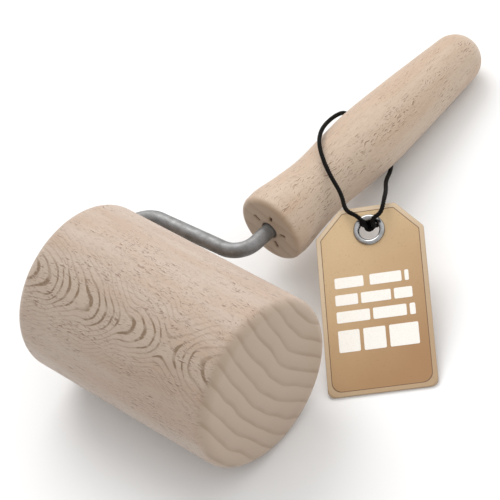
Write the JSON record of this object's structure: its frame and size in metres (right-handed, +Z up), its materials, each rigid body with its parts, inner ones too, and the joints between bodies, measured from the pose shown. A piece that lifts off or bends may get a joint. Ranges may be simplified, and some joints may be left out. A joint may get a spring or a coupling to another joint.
{
  "type": "pastry roller",
  "caption": "One-handed beech pastry roller: a wooden roller turning on a bent steel wire frame with a turned handle and a corded hang tag.",
  "frame": {"origin": "on the floor, under the middle of the tool's box without the tag and its cord, as it lies on the roller and the tip of the handle", "axes": "+X along the roller's axis, towards its solid end; +Y towards the handle, along the tool's length; +Z up"},
  "size_m": [0.1148, 0.1842, 0.056],
  "materials": {
    "roller_wood": "untreated fine-sanded beech",
    "handle_wood": "untreated fine-sanded beech",
    "wire_steel": "dull plated steel wire",
    "ring_steel": "plain spring steel",
    "nylon": "natural nylon",
    "tag_card": "kraft card, satin",
    "eyelet_metal": "nickel plated",
    "cord": "black waxed cotton cord"
  },
  "bodies": {
    "frame_and_handle": {"wire_frame": "wire_steel", "handle": "handle_wood", "thrust_washer": "ring_steel", "retaining_ring": "ring_steel"},
    "roller": {"roller": "roller_wood", "axle_sleeve": "nylon"},
    "tag_cord": {"cord_loop": "cord", "cord_knot": "cord"},
    "tag": {"hang_tag": "tag_card", "eyelet": "eyelet_metal", "eyelet_washer": "eyelet_metal"}
  },
  "joints": [
    {"name": "roller_spin", "type": "hinge", "parent": "frame_and_handle", "child": "roller", "pos_m": [0, -0.06413, 0.028], "axis": [1, 0, 0], "continuous": true},
    {"name": "cord_swing", "type": "hinge", "parent": "frame_and_handle", "child": "tag_cord", "pos_m": [0, -0.01336, 0.02142], "axis": [0, 0.9917, -0.1285], "range_deg": [-90, 90]},
    {"name": "tag_swing", "type": "hinge", "parent": "tag_cord", "child": "tag", "pos_m": [0.02754, 0.00361, 0.01981], "axis": [0.2255, -0.2785, 0.9336], "range_deg": [-8, 10]}
  ]
}
